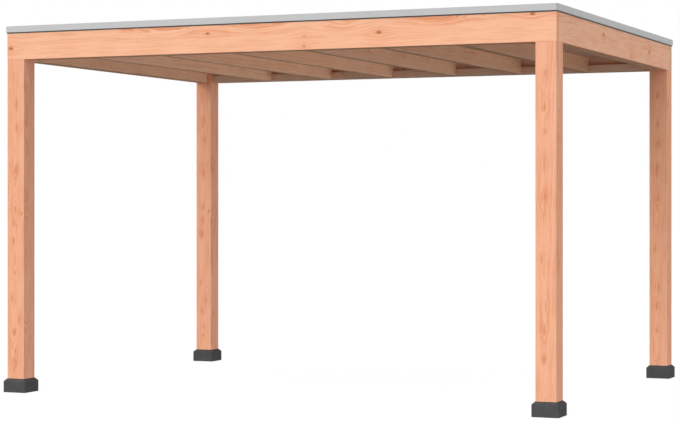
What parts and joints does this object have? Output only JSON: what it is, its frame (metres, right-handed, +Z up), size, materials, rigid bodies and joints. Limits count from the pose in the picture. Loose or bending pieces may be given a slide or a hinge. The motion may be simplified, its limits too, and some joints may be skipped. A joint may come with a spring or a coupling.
{
  "type": "patio cover",
  "caption": "Free-standing timber patio cover: flat roof on a beam ring, carried by square corner posts on bevelled feet, open on all sides.",
  "frame": {"origin": "on the ground, at the centre of the plan", "axes": "+Z up, +X along the long side from left to right, front towards -Y"},
  "size_m": [3.536, 2.636, 2.242],
  "materials": {
    "post_timber": "planed, untreated",
    "beam_timber": "planed, untreated",
    "roof_timber": "planed, untreated",
    "roof_boards": "planed, untreated",
    "plinth": "cast concrete, dark grey, matte",
    "roof_rubber": "matte",
    "trim_metal": "light grey, satin"
  },
  "bodies": {
    "root": {"foot_front_left": "plinth", "foot_front_right": "plinth", "foot_back_left": "plinth", "foot_back_right": "plinth", "post_front_left": "post_timber", "post_front_right": "post_timber", "post_back_left": "post_timber", "post_back_right": "post_timber", "front_beam": "beam_timber", "back_beam": "beam_timber", "left_beam": "beam_timber", "right_beam": "beam_timber", "front_batten": "roof_timber", "back_batten": "roof_timber", "left_edge_joist": "roof_timber", "right_edge_joist": "roof_timber", "joist_1": "roof_timber", "joist_2": "roof_timber", "joist_3": "roof_timber", "joist_4": "roof_timber", "joist_5": "roof_timber", "joist_6": "roof_timber", "roof_deck": "roof_boards", "roof_skin": "roof_rubber", "front_trim": "trim_metal", "back_trim": "trim_metal", "left_trim": "trim_metal", "right_trim": "trim_metal", "trim_corner_front_left": "trim_metal", "trim_corner_front_right": "trim_metal", "trim_corner_back_left": "trim_metal", "trim_corner_back_right": "trim_metal"}
  },
  "joints": []
}
